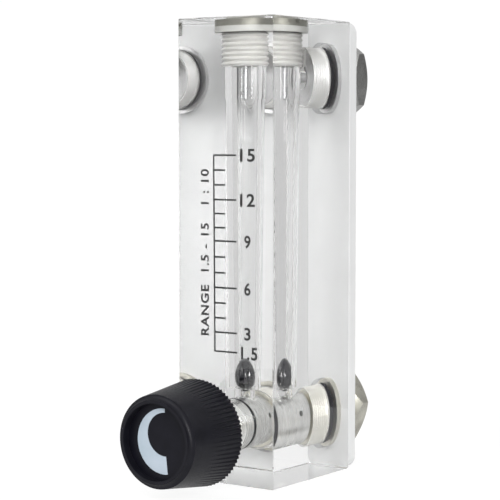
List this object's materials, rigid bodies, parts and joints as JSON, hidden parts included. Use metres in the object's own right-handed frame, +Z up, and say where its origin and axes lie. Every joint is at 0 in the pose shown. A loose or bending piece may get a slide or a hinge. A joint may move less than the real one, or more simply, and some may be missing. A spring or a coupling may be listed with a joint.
{
  "type": "gas flow meter",
  "caption": "Panel-mount gas flow meter: a clear acrylic block with a tapered bore and float, a front needle valve with a ribbed knob, and tube fittings at the back.",
  "frame": {"origin": "on the block's flat bottom face, on the axis of the metering bore", "axes": "+Z up the metering bore, -Y towards the knob at the front, +Y towards the tube fittings at the back, X across"},
  "size_m": [0.03, 0.0803, 0.12],
  "materials": {
    "acrylic": "clear, polished",
    "back_plate": "clear, satin edges",
    "plated_brass": "nickel plated, turned",
    "steel": "turned, satin",
    "rubber": "satin",
    "seal": "smooth",
    "knob_plastic": "moulded, satin",
    "knob_cap": "smooth, with a pale crescent",
    "float": "polished"
  },
  "bodies": {
    "root": {"acrylic_body": "acrylic", "rear_plate": "back_plate", "top_plug": "plated_brass", "top_plug_seal": "seal", "float_stop_pin": "steel", "valve_body": "plated_brass", "valve_body_ring": "rubber", "stem_ring": "rubber", "bonnet_nut": "plated_brass", "inlet_fitting": "plated_brass", "inlet_ring": "rubber", "inlet_lock_nut": "plated_brass", "inlet_compression_nut": "plated_brass", "inlet_ferrule": "plated_brass", "outlet_fitting": "plated_brass", "outlet_ring": "rubber", "outlet_lock_nut": "plated_brass", "outlet_compression_nut": "plated_brass", "outlet_ferrule": "plated_brass"},
    "needle": {"valve_needle": "steel"},
    "knob": {"valve_stem": "steel", "knob": "knob_plastic", "knob_cap": "knob_cap", "knob_set_screw": "steel"},
    "float": {"float": "float"}
  },
  "joints": [
    {"name": "float_rise", "type": "slide", "parent": "root", "child": "float", "axis": [0, 0, 1], "range_m": [0, 0.0674]},
    {"name": "needle_lift", "type": "slide", "parent": "root", "child": "needle", "axis": [0, -1, 0], "range_m": [0, 0.0024]},
    {"name": "knob_turn", "type": "hinge", "parent": "root", "child": "knob", "pos_m": [0, -0.034, 0.015], "axis": [0, -1, 0], "range_deg": [0, 1620]}
  ],
  "couplings": [
    {"joint": "needle_lift", "follows": "knob_turn", "m_per_rad": 0.000079577}
  ]
}
